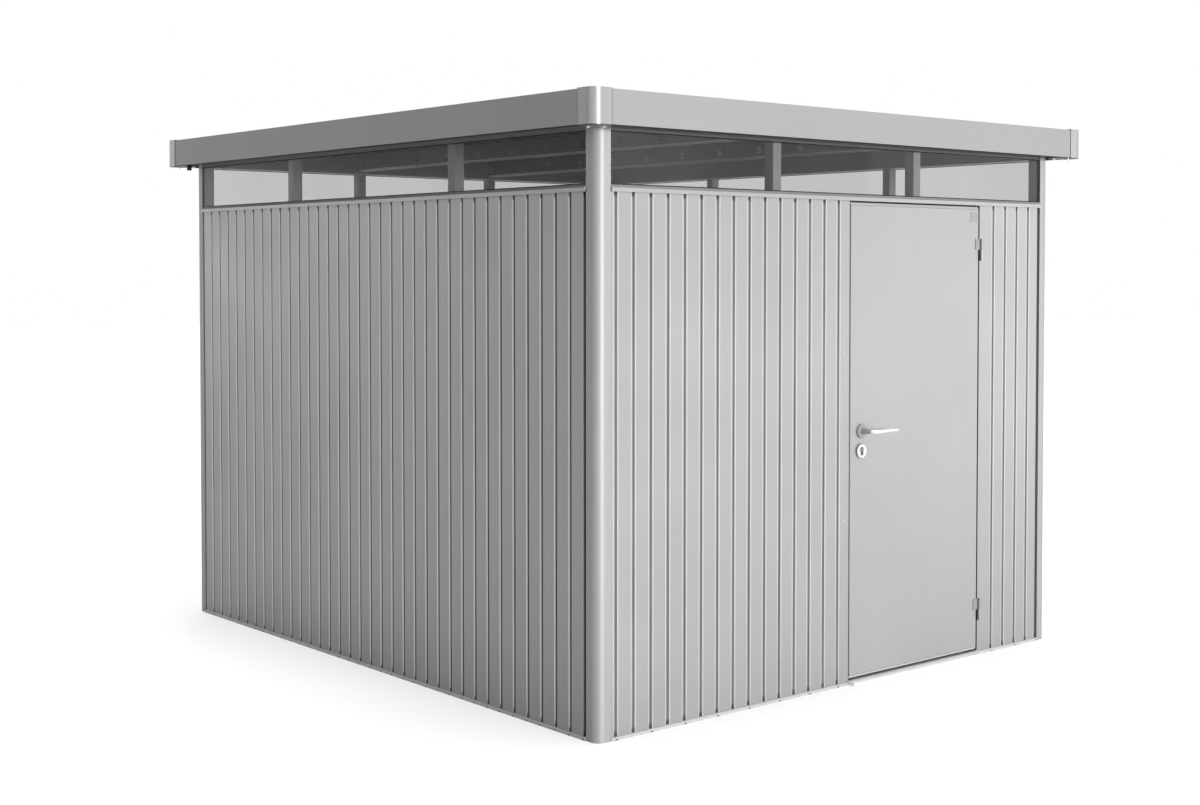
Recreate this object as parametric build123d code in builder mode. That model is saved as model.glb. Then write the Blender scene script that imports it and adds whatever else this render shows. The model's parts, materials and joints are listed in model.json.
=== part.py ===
from build123d import *
import os

# Flat-roofed metal garden shed with a band of windows under the roof and one
# hinged door in the front. Millimetres, +Z up. The origin is on the ground
# under the middle of the roof, +X runs to the right along the front, and the
# front with its door faces -Y.

os.makedirs("parts", exist_ok=True)

# ---------------------------------------------------------------- dimensions
# footprint of the walls (outer faces of the corner posts)
wall_hx = 1272.5
wall_hy = 1466.0
post_leg = 60.0            # side of a corner post
post_r = 33.0              # rounding of its outer corner
post_t = 3.0

# heights
lip_z = 11.0               # top of the base rail's outer lip
upstand_z = 60.0
rail_z0 = 1874.0           # window rail: bottom of its drip lip
rail_knee = 1888.0
rail_z1 = 1898.0
head_z0 = 2081.0           # wall-plate above the windows
head_z1 = 2174.0

# wall sheets
recess = 3.0               # sheet face behind the post's face
sheet_t = 1.2
groove_pitch = 80.0
groove_top = 18.0          # groove width at the face
groove_floor = 10.0
groove_d = 4.0
front_k0 = -1188.0         # first groove of the front and back walls
side_k0 = -1396.0          # first groove of the side walls
slot_d = 12.0              # depth of the channel where a sheet meets a post
side_slot = 18.0           # its width on the side walls, at the front
front_slot = 15.0          # and on the front and back walls, at the right
drain_w, drain_h = 11.0, 4.5            # drain notches under the grooves

# members behind the sheets
member = 54.0              # depth from the post's face to the inner face

# door
open_x0, open_x1 = -9.0, 792.0          # wall opening
leaf_x0, leaf_x1 = -2.0, 786.0
leaf_z0, leaf_z1 = 24.0, 1868.0
leaf_y0 = -1467.0                       # outer face of the leaf
leaf_t = 34.0
leaf_skin = 2.0
pin_x, pin_y = 798.0, -1475.0           # hinge line
hinge_h = 91.0
hinge_zs = (145.0, 1645.0)              # bottoms of the two hinges
barrel_r = 6.0
pin_r = 3.6
sill_y = -1498.0

# handle and lock
lever_x, lever_z = 61.0, 983.0
rose_r = 28.5
lock_r = 28.0
rose_t = 9.0
neck_r = 8.0
lever_out = 62.0                        # grip's middle in front of the leaf
lever_len = 146.0
lock_z = 905.0
lock_x = 57.0

# windows
glass_t = 4.0
mullion_w = 42.0
mullion_d = 44.0
front_mullions = (-400.0, 400.0)
side_mullions = (-600.0, 600.0)

# roof
roof_hx = 1372.0
roof_hy = 1565.0
fascia_z0, fascia_z1 = 2088.0, 2208.0
cap_proud = 2.0
cap_leg = 82.0
cap_r = 35.0
cap_z0, cap_z1 = 2087.0, 2211.0
rib_pitch = 137.5
rib_h = 20.0
rib_n = 22
sheet_hx = 1350.0           # half length of the roof sheets
beam_x = (-418.0, 382.0)                # web faces of the two roof beams
beam_w = 40.0
beam_z0 = 2096.0
hole_pitch = 248.0

px = wall_hx - post_leg                 # inner edges of the corner posts
py = wall_hy - post_leg


def grooved(start, end, first, pitch, face, inward, slot0=0.0, slot1=0.0):
    """Closed outline of a grooved sheet: along runs first, depth second.

    slot0 and slot1 are the widths of square channels at the two ends.
    """
    line = []
    far, near = end, start
    start, end = start + slot0, end - slot1
    a = groove_top / 2
    b = groove_floor / 2
    marks = []
    c = first
    while c - a < end:
        if c + a > start and not (slot0 and c - a < start) and not (slot1 and c + a > end):
            marks.append(c)
        c += pitch
    line.append((start, 0.0))
    for c in marks:
        if c - a > start + 0.2:
            line.append((c - a, 0.0))
        if c - b > start + 0.2:
            line.append((c - b, groove_d))
        if c + b < end - 0.2:
            line.append((c + b, groove_d))
        if c + a < end - 0.2:
            line.append((c + a, 0.0))
    last = marks[-1]
    if last + b >= end - 0.2:
        line.append((end, groove_d))
    elif last + a >= end - 0.2:
        line.append((end, groove_d * (last + a - end) / (a - b)))
    else:
        line.append((end, 0.0))
    back = [(u, d + sheet_t) for u, d in line]
    if slot0:
        line = [(near, slot_d), (start, slot_d)] + line
        back = [(near, slot_d + sheet_t), (start + sheet_t, slot_d + sheet_t),
                (start + sheet_t, sheet_t)] + back[1:]
    if slot1:
        line = line + [(end, slot_d), (far, slot_d)]
        back = back[:-1] + [(end - sheet_t, sheet_t), (end - sheet_t, slot_d + sheet_t),
                            (far, slot_d + sheet_t)]
    return [(u, face + inward * d) for u, d in line + back[::-1]]


def swap(points):
    return [(v, u) for u, v in points]


def keep(builder, name):
    builder.part.label = name
    export_step(builder.part, "parts/" + name + ".step")


# ---------------------------------------------------------------- base frame
# One rolled angle per side: a low outer lip that the sheet stands on, an
# upstand behind the sheet and a flat foot.
def base_section(face):
    """(depth from the wall's middle line, height) of a base rail."""
    return [
        (face + 4.0, 0.0),
        (face + 4.0, lip_z),
        (face - 8.5, lip_z),
        (face - 8.5, upstand_z),
        (face - 11.5, upstand_z),
        (face - 11.5, 3.0),
        (face - member, 3.0),
        (face - member, 0.0),
    ]


front_drains = [front_k0 + groove_pitch * k for k in (0, 2, 4, 6, 8, 10, 12, 14, 26, 28)]
back_drains = [front_k0 + groove_pitch * k for k in range(0, 30, 2)]
side_drains = [side_k0 + groove_pitch * k for k in range(0, 35)]

# The front one stops on both sides of the doorway. The notches along the foot
# of the lip let rain out of the grooves, and the upstand is cut back at the
# channel beside the post.
with BuildPart() as base_rail_front:
    for x0, x1 in ((-px, open_x0), (open_x1, px)):
        with BuildSketch(Plane.YZ.offset(x0)):
            with BuildLine():
                Polyline(*[(-u, v) for u, v in base_section(wall_hy)], close=True)
            make_face()
        extrude(amount=x1 - x0)
    with Locations(*[(x, -wall_hy, drain_h / 2) for x in front_drains + [px - front_slot / 2]]):
        Box(drain_w, 9, drain_h, mode=Mode.SUBTRACT)
    with Locations((px, -(wall_hy - 15), 40)):
        Box(2 * front_slot + 4, 20, 60, mode=Mode.SUBTRACT)
keep(base_rail_front, "base_rail_front")

with BuildPart() as base_rail_back:
    with BuildSketch(Plane.YZ.offset(-px)):
        with BuildLine():
            Polyline(*base_section(wall_hy), close=True)
        make_face()
    extrude(amount=2 * px)
    with Locations(*[(x, wall_hy, drain_h / 2) for x in back_drains + [px - front_slot / 2]]):
        Box(drain_w, 9, drain_h, mode=Mode.SUBTRACT)
    with Locations((px, wall_hy - 15, 40)):
        Box(2 * front_slot + 4, 20, 60, mode=Mode.SUBTRACT)
keep(base_rail_back, "base_rail_back")

with BuildPart() as base_rail_left:
    with BuildSketch(Plane.XZ.offset(-py)):
        with BuildLine():
            Polyline(*[(-u, v) for u, v in base_section(wall_hx)], close=True)
        make_face()
    extrude(amount=2 * py)
    with Locations(*[(-wall_hx, y, drain_h / 2) for y in side_drains]):
        Box(9, drain_w, drain_h, mode=Mode.SUBTRACT)
    with Locations((-(wall_hx - 15), -py, 40)):
        Box(20, 2 * side_slot + 4, 60, mode=Mode.SUBTRACT)
keep(base_rail_left, "base_rail_left")

with BuildPart() as base_rail_right:
    with BuildSketch(Plane.XZ.offset(-py)):
        with BuildLine():
            Polyline(*base_section(wall_hx), close=True)
        make_face()
    extrude(amount=2 * py)
    with Locations(*[(wall_hx, y, drain_h / 2) for y in side_drains]):
        Box(9, drain_w, drain_h, mode=Mode.SUBTRACT)
    with Locations((wall_hx - 15, -py, 40)):
        Box(20, 2 * side_slot + 4, 60, mode=Mode.SUBTRACT)
keep(base_rail_right, "base_rail_right")

# The threshold fills the doorway between the two front rails and reaches a
# little way out in front of them. It is a folded strip, open underneath.
with BuildPart() as door_sill:
    with BuildSketch(Plane.YZ.offset(open_x0)):
        with BuildLine():
            Polyline(
                (sill_y, 0), (sill_y, 8), (sill_y + 3, 11), (-1474, 13),
                (-1438, 16), (-1412, 16), (-1412, 0), (-1414, 0), (-1414, 14),
                (-1438, 14), (-1474, 11), (sill_y + 4, 9), (sill_y + 2, 7),
                (sill_y + 2, 0), close=True,
            )
        make_face()
    extrude(amount=open_x1 - open_x0)
keep(door_sill, "door_sill")

# -------------------------------------------------------------- corner posts
# Square tube with one large outer rounding, from the ground to the roof.
for name, sx, sy in (
    ("corner_post_front_left", -1, -1),
    ("corner_post_front_right", 1, -1),
    ("corner_post_rear_left", -1, 1),
    ("corner_post_rear_right", 1, 1),
):
    with BuildPart() as post:
        with BuildSketch(Plane.XY):
            with BuildLine():
                cx, cy = sx * (wall_hx - post_r), sy * (wall_hy - post_r)
                Line((sx * px, sy * py), (sx * wall_hx, sy * py))
                Line((sx * wall_hx, sy * py), (sx * wall_hx, cy))
                a0 = 0 if sx > 0 else 180
                turn = 90 if sx * sy > 0 else -90
                CenterArc((cx, cy), post_r, a0, turn)
                Line((cx, sy * wall_hy), (sx * px, sy * wall_hy))
                Line((sx * px, sy * wall_hy), (sx * px, sy * py))
            make_face()
            offset(amount=-post_t, mode=Mode.SUBTRACT)
        extrude(amount=head_z1)
    keep(post, name)

# --------------------------------------------------------------- wall sheets
sheet_z0, sheet_z1 = lip_z, rail_z0 + 10.0
fy = -(wall_hy - recess)
fx = -(wall_hx - recess)

with BuildPart() as front_wall_left:
    with BuildSketch(Plane.XY.offset(sheet_z0)):
        with BuildLine():
            Polyline(*grooved(-px, open_x0, front_k0, groove_pitch, fy, 1), close=True)
        make_face()
    extrude(amount=sheet_z1 - sheet_z0)
keep(front_wall_left, "front_wall_left")

with BuildPart() as front_wall_right:
    with BuildSketch(Plane.XY.offset(sheet_z0)):
        with BuildLine():
            Polyline(
                *grooved(open_x1, px, front_k0 + 26 * groove_pitch, groove_pitch, fy, 1, slot1=front_slot),
                close=True,
            )
        make_face()
    extrude(amount=sheet_z1 - sheet_z0)
keep(front_wall_right, "front_wall_right")

with BuildPart() as back_wall:
    with BuildSketch(Plane.XY.offset(sheet_z0)):
        with BuildLine():
            Polyline(*grooved(-px, px, front_k0, groove_pitch, -fy, -1, slot1=front_slot), close=True)
        make_face()
    extrude(amount=sheet_z1 - sheet_z0)
keep(back_wall, "back_wall")

with BuildPart() as left_wall:
    with BuildSketch(Plane.XY.offset(sheet_z0)):
        with BuildLine():
            Polyline(*swap(grooved(-py, py, side_k0, groove_pitch, fx, 1, slot0=side_slot)), close=True)
        make_face()
    extrude(amount=sheet_z1 - sheet_z0)
keep(left_wall, "left_wall")

with BuildPart() as right_wall:
    with BuildSketch(Plane.XY.offset(sheet_z0)):
        with BuildLine():
            Polyline(*swap(grooved(-py, py, side_k0, groove_pitch, -fx, -1, slot0=side_slot)), close=True)
        make_face()
    extrude(amount=sheet_z1 - sheet_z0)
keep(right_wall, "right_wall")

# ---------------------------------------------------------------- door frame
# Jambs with a stop behind the leaf; the head closes the top of the opening.
stop_y = -1427.0
with BuildPart() as door_jambs:
    for x, out in ((open_x0, -1), (open_x1, 1)):
        with BuildSketch(Plane.XY.offset(3.0)):
            with BuildLine():
                Polyline(
                    (x + out * 40, -1454.5), (x + out * 40, -1412), (x - out * 17, -1412),
                    (x - out * 17, stop_y), (x, stop_y), (x, -1454.5), close=True,
                )
            make_face()
        extrude(amount=rail_z0 + 10 - 3.0)
        # the threshold passes under the jamb's stop
        with BuildSketch(Plane.XY.offset(3.0)):
            with Locations((x - out * 10, -1430)):
                Rectangle(20, 60)
        extrude(amount=13.0, mode=Mode.SUBTRACT)
keep(door_jambs, "door_jambs")

with BuildPart() as door_head:
    with BuildSketch(Plane.YZ.offset(open_x0 + 17)):
        with BuildLine():
            Polyline((stop_y, 1852), (stop_y, 1884), (-1412, 1884), (-1412, 1852), close=True)
        make_face()
    extrude(amount=open_x1 - open_x0 - 34)
keep(door_head, "door_head")

with BuildPart() as strike_plate:
    with BuildSketch(Plane.YZ.offset(open_x0)):
        with Locations((-1443, 945)):
            Rectangle(20, 200)
        with Locations((-1443, 983), (-1443, 905)):
            Rectangle(9, 22, mode=Mode.SUBTRACT)
    extrude(amount=0.8)
keep(strike_plate, "strike_plate")


# -------------------------------------------------------------- window rails
# Sill under the windows all round: it covers the top of the sheets with a
# lip, slopes back to the glass and runs in to the inner face.
def rail_section(face):
    return [
        (face + 7.0, rail_z0),
        (face + 7.0, rail_knee),
        (face - 2.0, rail_z1),
        (face - member, rail_z1),
        (face - member, rail_z0 + 10),
        (face + 3.0, rail_z0 + 10),
        (face + 3.0, rail_z0),
    ]


with BuildPart() as window_rail_front:
    with BuildSketch(Plane.YZ.offset(-px)):
        with BuildLine():
            Polyline(*[(-u, v) for u, v in rail_section(wall_hy)], close=True)
        make_face()
    extrude(amount=2 * px)
keep(window_rail_front, "window_rail_front")

with BuildPart() as window_rail_back:
    with BuildSketch(Plane.YZ.offset(-px)):
        with BuildLine():
            Polyline(*rail_section(wall_hy), close=True)
        make_face()
    extrude(amount=2 * px)
keep(window_rail_back, "window_rail_back")

with BuildPart() as window_rail_left:
    with BuildSketch(Plane.XZ.offset(-py)):
        with BuildLine():
            Polyline(*[(-u, v) for u, v in rail_section(wall_hx)], close=True)
        make_face()
    extrude(amount=2 * py)
keep(window_rail_left, "window_rail_left")

with BuildPart() as window_rail_right:
    with BuildSketch(Plane.XZ.offset(-py)):
        with BuildLine():
            Polyline(*rail_section(wall_hx), close=True)
        make_face()
    extrude(amount=2 * py)
keep(window_rail_right, "window_rail_right")

# ------------------------------------------------------------ glass and posts
glass_h = head_z0 - rail_z1
with BuildPart() as glazing_front:
    with BuildSketch(Plane.XY.offset(rail_z1)):
        with Locations((0, -(wall_hy - 5.0))):
            Rectangle(2 * px, glass_t)
    extrude(amount=glass_h)
keep(glazing_front, "glazing_front")

with BuildPart() as glazing_back:
    with BuildSketch(Plane.XY.offset(rail_z1)):
        with Locations((0, wall_hy - 5.0)):
            Rectangle(2 * px, glass_t)
    extrude(amount=glass_h)
keep(glazing_back, "glazing_back")

with BuildPart() as glazing_left:
    with BuildSketch(Plane.XY.offset(rail_z1)):
        with Locations((-(wall_hx - 5.0), 0)):
            Rectangle(glass_t, 2 * py)
    extrude(amount=glass_h)
keep(glazing_left, "glazing_left")

with BuildPart() as glazing_right:
    with BuildSketch(Plane.XY.offset(rail_z1)):
        with Locations((wall_hx - 5.0, 0)):
            Rectangle(glass_t, 2 * py)
    extrude(amount=glass_h)
keep(glazing_right, "glazing_right")

mull_y = wall_hy - 9.0 - mullion_d / 2
mull_x = wall_hx - 9.0 - mullion_d / 2
with BuildPart() as window_posts:
    with BuildSketch(Plane.XY.offset(rail_z1)):
        with Locations(*[(x, y) for x in front_mullions for y in (-mull_y, mull_y)]):
            Rectangle(mullion_w, mullion_d)
        with Locations(*[(x, y) for x in (-mull_x, mull_x) for y in side_mullions]):
            Rectangle(mullion_d, mullion_w)
    extrude(amount=glass_h)
keep(window_posts, "window_posts")


# ------------------------------------------------------- wall-plates (headers)
# Lipped channel, open to the inside.
def header_section(face):
    o = face - recess
    i = face - member
    return [
        (o, head_z0), (i, head_z0), (i, head_z0 + 17), (i + 2, head_z0 + 17),
        (i + 2, head_z0 + 2), (o - 2, head_z0 + 2), (o - 2, head_z1 - 2),
        (i, head_z1 - 2), (i, head_z1), (o, head_z1),
    ]


with BuildPart() as header_front:
    with BuildSketch(Plane.YZ.offset(-px)):
        with BuildLine():
            Polyline(*[(-u, v) for u, v in header_section(wall_hy)], close=True)
        make_face()
    extrude(amount=2 * px)
keep(header_front, "header_front")

with BuildPart() as header_back:
    with BuildSketch(Plane.YZ.offset(-px)):
        with BuildLine():
            Polyline(*header_section(wall_hy), close=True)
        make_face()
    extrude(amount=2 * px)
keep(header_back, "header_back")

with BuildPart() as header_left:
    with BuildSketch(Plane.XZ.offset(-py)):
        with BuildLine():
            Polyline(*[(-u, v) for u, v in header_section(wall_hx)], close=True)
        make_face()
    extrude(amount=2 * py)
keep(header_left, "header_left")

with BuildPart() as header_right:
    with BuildSketch(Plane.XZ.offset(-py)):
        with BuildLine():
            Polyline(*header_section(wall_hx), close=True)
        make_face()
    extrude(amount=2 * py)
keep(header_right, "header_right")

# ---------------------------------------------------------------- roof beams
# Two channels from front to back under the roof sheets, with a row of square
# holes in the web and a lip on the lower flange.
beam_hy = 1412.0
with BuildPart() as roof_beams:
    for bx in beam_x:
        with BuildSketch(Plane.XZ.offset(-beam_hy)):
            with BuildLine():
                Polyline(
                    (bx, beam_z0), (bx + beam_w, beam_z0), (bx + beam_w, beam_z0 + 12),
                    (bx + beam_w - 2, beam_z0 + 12), (bx + beam_w - 2, beam_z0 + 2),
                    (bx + 2, beam_z0 + 2), (bx + 2, head_z1 - 2),
                    (bx + beam_w, head_z1 - 2), (bx + beam_w, head_z1), (bx, head_z1),
                    close=True,
                )
            make_face()
        extrude(amount=2 * beam_hy)
        with BuildSketch(Plane.YZ.offset(bx)):
            with Locations(*[(-93.0 + hole_pitch * k, 2132.0) for k in range(-5, 7)]):
                RectangleRounded(32, 32, 5)
        extrude(amount=2.0, mode=Mode.SUBTRACT)
keep(roof_beams, "roof_beams")


# --------------------------------------------------------------- roof sheets
# Ribs run from left to right. Three sheets side by side.
def roof_outline(start, end, ribs):
    line = [(start, 0.0)]
    for n in ribs:
        c = rib_pitch * (n - (rib_n - 1) / 2)
        line += [(c - 34, 0.0), (c - 18, rib_h), (c + 18, rib_h), (c + 34, 0.0)]
    line.append((end, 0.0))
    low = [(u, head_z1 + v) for u, v in line]
    return low + [(u, v + sheet_t) for u, v in reversed(low)]


seam = [rib_pitch * (n - rib_n / 2) for n in (8, 16)]
for name, start, end, ribs in (
    ("roof_sheet_front", -1540.0, seam[0], range(0, 8)),
    ("roof_sheet_middle", seam[0], seam[1], range(8, 16)),
    ("roof_sheet_rear", seam[1], 1540.0, range(16, 22)),
):
    with BuildPart() as roof_sheet:
        with BuildSketch(Plane.YZ.offset(-sheet_hx)):
            with BuildLine():
                Polyline(*roof_outline(start, end, ribs), close=True)
            make_face()
        extrude(amount=2 * sheet_hx)
    keep(roof_sheet, name)


# -------------------------------------------------------------------- fascia
# Deep folded edge round the roof with narrow flanges turned in at the top and
# the bottom; at the corners separate rounded caps cover the ends.
def fascia_section(face):
    o = face - cap_proud
    return [
        (o, fascia_z0), (o, fascia_z1), (o - 22, fascia_z1), (o - 22, fascia_z1 - 2),
        (o - 2, fascia_z1 - 2), (o - 2, fascia_z0 + 2), (o - 24, fascia_z0 + 2),
        (o - 24, fascia_z0),
    ]


run_x = roof_hx - cap_leg
run_y = roof_hy - cap_leg
with BuildPart() as fascia_front:
    with BuildSketch(Plane.YZ.offset(-run_x)):
        with BuildLine():
            Polyline(*[(-u, v) for u, v in fascia_section(roof_hy)], close=True)
        make_face()
    extrude(amount=2 * run_x)
keep(fascia_front, "fascia_front")

with BuildPart() as fascia_back:
    with BuildSketch(Plane.YZ.offset(-run_x)):
        with BuildLine():
            Polyline(*fascia_section(roof_hy), close=True)
        make_face()
    extrude(amount=2 * run_x)
keep(fascia_back, "fascia_back")

with BuildPart() as fascia_left:
    with BuildSketch(Plane.XZ.offset(-run_y)):
        with BuildLine():
            Polyline(*[(-u, v) for u, v in fascia_section(roof_hx)], close=True)
        make_face()
    extrude(amount=2 * run_y)
keep(fascia_left, "fascia_left")

with BuildPart() as fascia_right:
    with BuildSketch(Plane.XZ.offset(-run_y)):
        with BuildLine():
            Polyline(*fascia_section(roof_hx), close=True)
        make_face()
    extrude(amount=2 * run_y)
keep(fascia_right, "fascia_right")

cap_t = 4.0
flange = 26.0
with BuildPart() as roof_corner_caps:
    for sx, sy in ((-1, -1), (1, -1), (-1, 1), (1, 1)):
        ox, oy = sx * roof_hx, sy * roof_hy
        turn = 90 if sx * sy > 0 else -90
        a0 = 0 if sx > 0 else 180

        # wall of the cap
        with BuildSketch(Plane.XY.offset(cap_z0)):
            with BuildLine():
                Line((ox, oy - sy * cap_leg), (ox, oy - sy * cap_r))
                CenterArc((ox - sx * cap_r, oy - sy * cap_r), cap_r, a0, turn)
                Line((ox - sx * cap_r, oy), (ox - sx * cap_leg, oy))
                Line((ox - sx * cap_leg, oy), (ox - sx * cap_leg, oy - sy * cap_t))
                Line((ox - sx * cap_leg, oy - sy * cap_t), (ox - sx * cap_r, oy - sy * cap_t))
                CenterArc((ox - sx * cap_r, oy - sy * cap_r), cap_r - cap_t, a0 + turn, -turn)
                Line((ox - sx * cap_t, oy - sy * cap_r), (ox - sx * cap_t, oy - sy * cap_leg))
                Line((ox - sx * cap_t, oy - sy * cap_leg), (ox, oy - sy * cap_leg))
            make_face()
        extrude(amount=cap_z1 - cap_z0)
        # flanges turned in at the bottom and the top
        for z in (cap_z0, cap_z1 - 2.0):
            with BuildSketch(Plane.XY.offset(z)):
                with BuildLine():
                    Line((ox, oy - sy * cap_leg), (ox, oy - sy * cap_r))
                    CenterArc((ox - sx * cap_r, oy - sy * cap_r), cap_r, a0, turn)
                    Line((ox - sx * cap_r, oy), (ox - sx * cap_leg, oy))
                    Line((ox - sx * cap_leg, oy), (ox - sx * cap_leg, oy - sy * flange))
                    Line((ox - sx * cap_leg, oy - sy * flange), (ox - sx * flange, oy - sy * flange))
                    Line((ox - sx * flange, oy - sy * flange), (ox - sx * flange, oy - sy * cap_leg))
                    Line((ox - sx * flange, oy - sy * cap_leg), (ox, oy - sy * cap_leg))
                make_face()
            extrude(amount=2.0)
keep(roof_corner_caps, "roof_corner_caps")

# Short rainwater outlets under the side fascias, near the two rear corners.
with BuildPart() as drain_spouts:
    with BuildSketch(Plane.XY.offset(2064)):
        with Locations((-1357, 1366), (1357, 1366)):
            Circle(10.5)
        with Locations((-1357, 1366), (1357, 1366)):
            Circle(8.0, mode=Mode.SUBTRACT)
    extrude(amount=fascia_z0 - 2064)
keep(drain_spouts, "drain_spouts")

# -------------------------------------------------------------------- hinges
# Lift-off hinges: the lower half with its pin belongs to the frame, the upper
# half turns with the door.
with BuildPart() as hinge_frame_halves:
    for z in hinge_zs:
        with BuildSketch(Plane.XY.offset(z)):
            with Locations((pin_x, pin_y)):
                Circle(barrel_r)
            with Locations((pin_x, (pin_y + fy) / 2)):
                Rectangle(4, fy - pin_y)
        extrude(amount=hinge_h / 2 - 0.5)
        with BuildSketch(Plane.XY.offset(z + hinge_h / 2 - 0.5)):
            with Locations((pin_x, pin_y)):
                Circle(pin_r)
        extrude(amount=hinge_h / 2 - 6)
keep(hinge_frame_halves, "hinge_frame_halves")

with BuildPart() as hinge_door_halves:
    for z in hinge_zs:
        with BuildSketch(Plane.XY.offset(z + hinge_h / 2 + 0.5)):
            with Locations((pin_x, pin_y)):
                Circle(barrel_r)
            with Locations((pin_x - 18, leaf_y0 - 1.5)):
                Rectangle(30, 3)
        extrude(amount=hinge_h / 2 - 0.5)
        with BuildSketch(Plane.XY.offset(z + hinge_h / 2 + 0.5)):
            with Locations((pin_x, pin_y)):
                Circle(pin_r + 0.6)
        extrude(amount=hinge_h / 2 - 4, mode=Mode.SUBTRACT)
keep(hinge_door_halves, "hinge_door_halves")

# ---------------------------------------------------------------------- door
leaf_w = leaf_x1 - leaf_x0
leaf_h = leaf_z1 - leaf_z0
leaf_cx = (leaf_x0 + leaf_x1) / 2
edge = 14.0                 # solid bands along the top and the bottom
with BuildPart() as door_leaf:
    with BuildSketch(Plane.XY.offset(leaf_z0)):
        with Locations((leaf_cx, leaf_y0 + leaf_t / 2)):
            Rectangle(leaf_w, leaf_t)
    extrude(amount=leaf_h)
    # the long upright edges are slightly rounded off
    chamfer(door_leaf.edges().filter_by(Axis.Z).group_by(Axis.Y)[0], 1.4)
    # hollow tray, open to the inside
    with BuildSketch(Plane.XY.offset(leaf_z0 + edge)):
        with Locations((leaf_cx, leaf_y0 + leaf_skin + leaf_t / 2)):
            Rectangle(leaf_w - 2 * leaf_skin, leaf_t)
    extrude(amount=leaf_h - 2 * edge, mode=Mode.SUBTRACT)
    # sloping top and bottom edges
    with BuildSketch(Plane.YZ.offset(leaf_x0)):
        with BuildLine():
            Polyline((leaf_y0, leaf_z1 - 10), (leaf_y0, leaf_z1), (leaf_y0 + 5, leaf_z1), close=True)
        make_face()
        with BuildLine():
            Polyline((leaf_y0, leaf_z0 + 10), (leaf_y0, leaf_z0), (leaf_y0 + 5, leaf_z0), close=True)
        make_face()
    extrude(amount=leaf_w, mode=Mode.SUBTRACT)
    # hole for the spindle
    with BuildSketch(Plane.XZ.offset(-leaf_y0)):
        with Locations((lever_x, lever_z)):
            Circle(12)
    extrude(amount=-leaf_skin, mode=Mode.SUBTRACT)
keep(door_leaf, "door_leaf")

with BuildPart() as door_inner_sheet:
    with BuildSketch(Plane.XZ.offset(-(leaf_y0 + leaf_t - 2))):
        with Locations((leaf_cx, (leaf_z0 + leaf_z1) / 2)):
            Rectangle(leaf_w - 2 * leaf_skin, leaf_h - 2 * edge)
        with Locations((lever_x, lever_z)):
            Circle(12, mode=Mode.SUBTRACT)
    extrude(amount=-2.0)
keep(door_inner_sheet, "door_inner_sheet")

# Round roses on both faces carry the lever; a second pair under them holds the
# lock cylinder.
leaf_y1 = leaf_y0 + leaf_t
with BuildPart() as handle_roses:
    for face, side in ((leaf_y0, 1), (leaf_y1, -1)):
        with BuildSketch(Plane.XZ.offset(-face)):
            with Locations((lever_x, lever_z)):
                Circle(rose_r)
                Circle(neck_r + 1.0, mode=Mode.SUBTRACT)
        extrude(amount=side * rose_t)
    for face in (handle_roses.faces().sort_by(Axis.Y)[0], handle_roses.faces().sort_by(Axis.Y)[-1]):
        chamfer(face.outer_wire().edges(), 1.6)
keep(handle_roses, "handle_roses")

with BuildPart() as lock_plates:
    for face, side in ((leaf_y0, 1), (leaf_y1, -1)):
        with BuildSketch(Plane.XZ.offset(-face)):
            with Locations((lock_x, lock_z)):
                Circle(lock_r)
        extrude(amount=side * rose_t)
    for face in (lock_plates.faces().sort_by(Axis.Y)[0], lock_plates.faces().sort_by(Axis.Y)[-1]):
        chamfer(face.outer_wire().edges(), 1.6)
keep(lock_plates, "lock_plates")

with BuildPart() as lock_faceplate:
    with BuildSketch(Plane.YZ.offset(leaf_x0 - 0.8)):
        with Locations((leaf_y0 + leaf_t / 2, 945)):
            Rectangle(22, 235)
    extrude(amount=0.8)
keep(lock_faceplate, "lock_faceplate")

# Levers: a tapering neck out of the rose, a tight elbow and a flat tapering
# grip that points to the hinge side. The spindle through the door joins them.
bend = 12.0
mid_y = leaf_y0 + leaf_t / 2
levers = []
for reach in (lever_out, lever_out - 10):
    # seen on the outside of the door, with its grip this far in front of it
    foot_y = leaf_y0 - rose_t - 0.6
    turn_y = leaf_y0 - reach + bend
    with BuildPart() as lever_blank:
        with BuildSketch(Plane.XZ.offset(-(leaf_y0 + 8))):
            with Locations((lever_x, lever_z)):
                Circle(neck_r)
        extrude(amount=leaf_y0 + 8 - foot_y)
        with BuildSketch(Plane.XZ.offset(-foot_y)):
            with Locations((lever_x, lever_z)):
                Circle(neck_r + 3.5)
        with BuildSketch(Plane.XZ.offset(-turn_y)):
            with Locations((lever_x, lever_z)):
                Circle(7.5)
        loft()
        with BuildSketch(Plane.XZ.offset(-turn_y)):
            with Locations((lever_x, lever_z)):
                RectangleRounded(16, 15, 5)
        revolve(axis=Axis((lever_x + bend, turn_y, lever_z), (0, 0, 1)), revolution_arc=90)
        with BuildSketch(Plane.YZ.offset(lever_x + bend)):
            with Locations((turn_y - bend, lever_z)):
                RectangleRounded(16, 15, 5)
        with BuildSketch(Plane.YZ.offset(lever_x + lever_len)):
            with Locations((turn_y - bend, lever_z)):
                RectangleRounded(11, 9, 4)
        loft()
    levers.append(lever_blank.part)

with BuildPart() as lever_outer:
    add(levers[0])
keep(lever_outer, "lever_outer")

with BuildPart() as lever_inner:
    mirror(levers[1], about=Plane.XZ.offset(-mid_y))
    with BuildSketch(Plane.XZ.offset(-(leaf_y0 + 8))):
        with Locations((lever_x, lever_z)):
            Rectangle(8, 8)
    extrude(amount=-(leaf_t - 16))
keep(lever_inner, "lever_inner")
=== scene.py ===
import json
import math

import bpy
from mathutils import Matrix, Vector


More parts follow.
